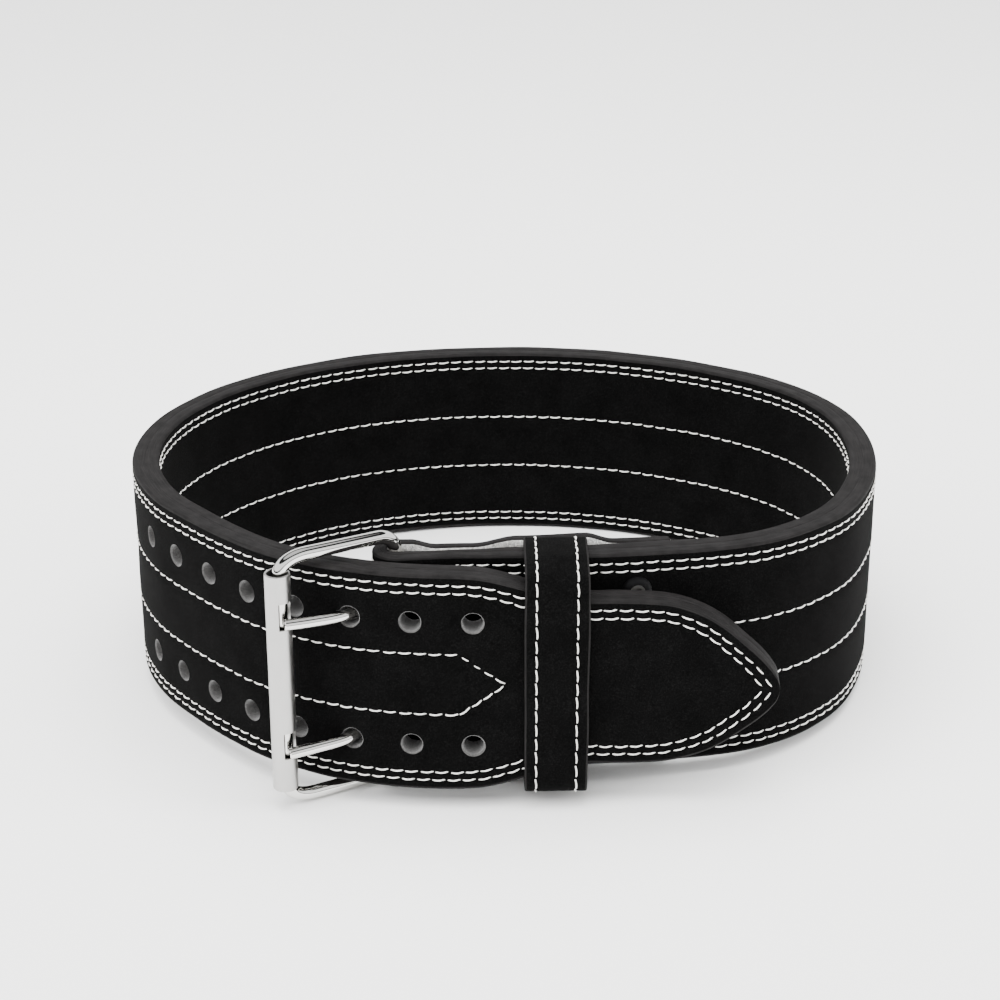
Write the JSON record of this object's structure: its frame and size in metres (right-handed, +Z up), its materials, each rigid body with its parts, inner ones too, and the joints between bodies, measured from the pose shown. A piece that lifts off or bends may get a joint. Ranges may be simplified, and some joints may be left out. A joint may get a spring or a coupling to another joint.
{
  "type": "weightlifting belt",
  "caption": "Wide thick suede leather lifting belt, buckled into a standing loop, with a two-prong roller buckle, two rows of holes, a pointed tongue and a leather keeper.",
  "frame": {"origin": "bottom centre of the bounding box, on the floor the buckled belt stands on", "axes": "+X across the waist, -Y out of the front where the buckle is, +Z up along the wearer's body"},
  "size_m": [0.3524, 0.3132, 0.1188],
  "materials": {
    "suede": "black suede with a fine nap",
    "nickel": "bright nickel plate",
    "satin": "satin nickel plate",
    "steel": "dull plated steel"
  },
  "bodies": {
    "root": {"strap": "suede", "keeper": "suede", "buckle_frame": "nickel", "roller": "satin", "prong_lower": "nickel", "prong_upper": "nickel", "rivet_1_low": "steel", "rivet_1_mid": "steel", "rivet_1_high": "steel", "rivet_2_low": "steel", "rivet_2_mid": "steel", "rivet_2_high": "steel"}
  },
  "joints": []
}
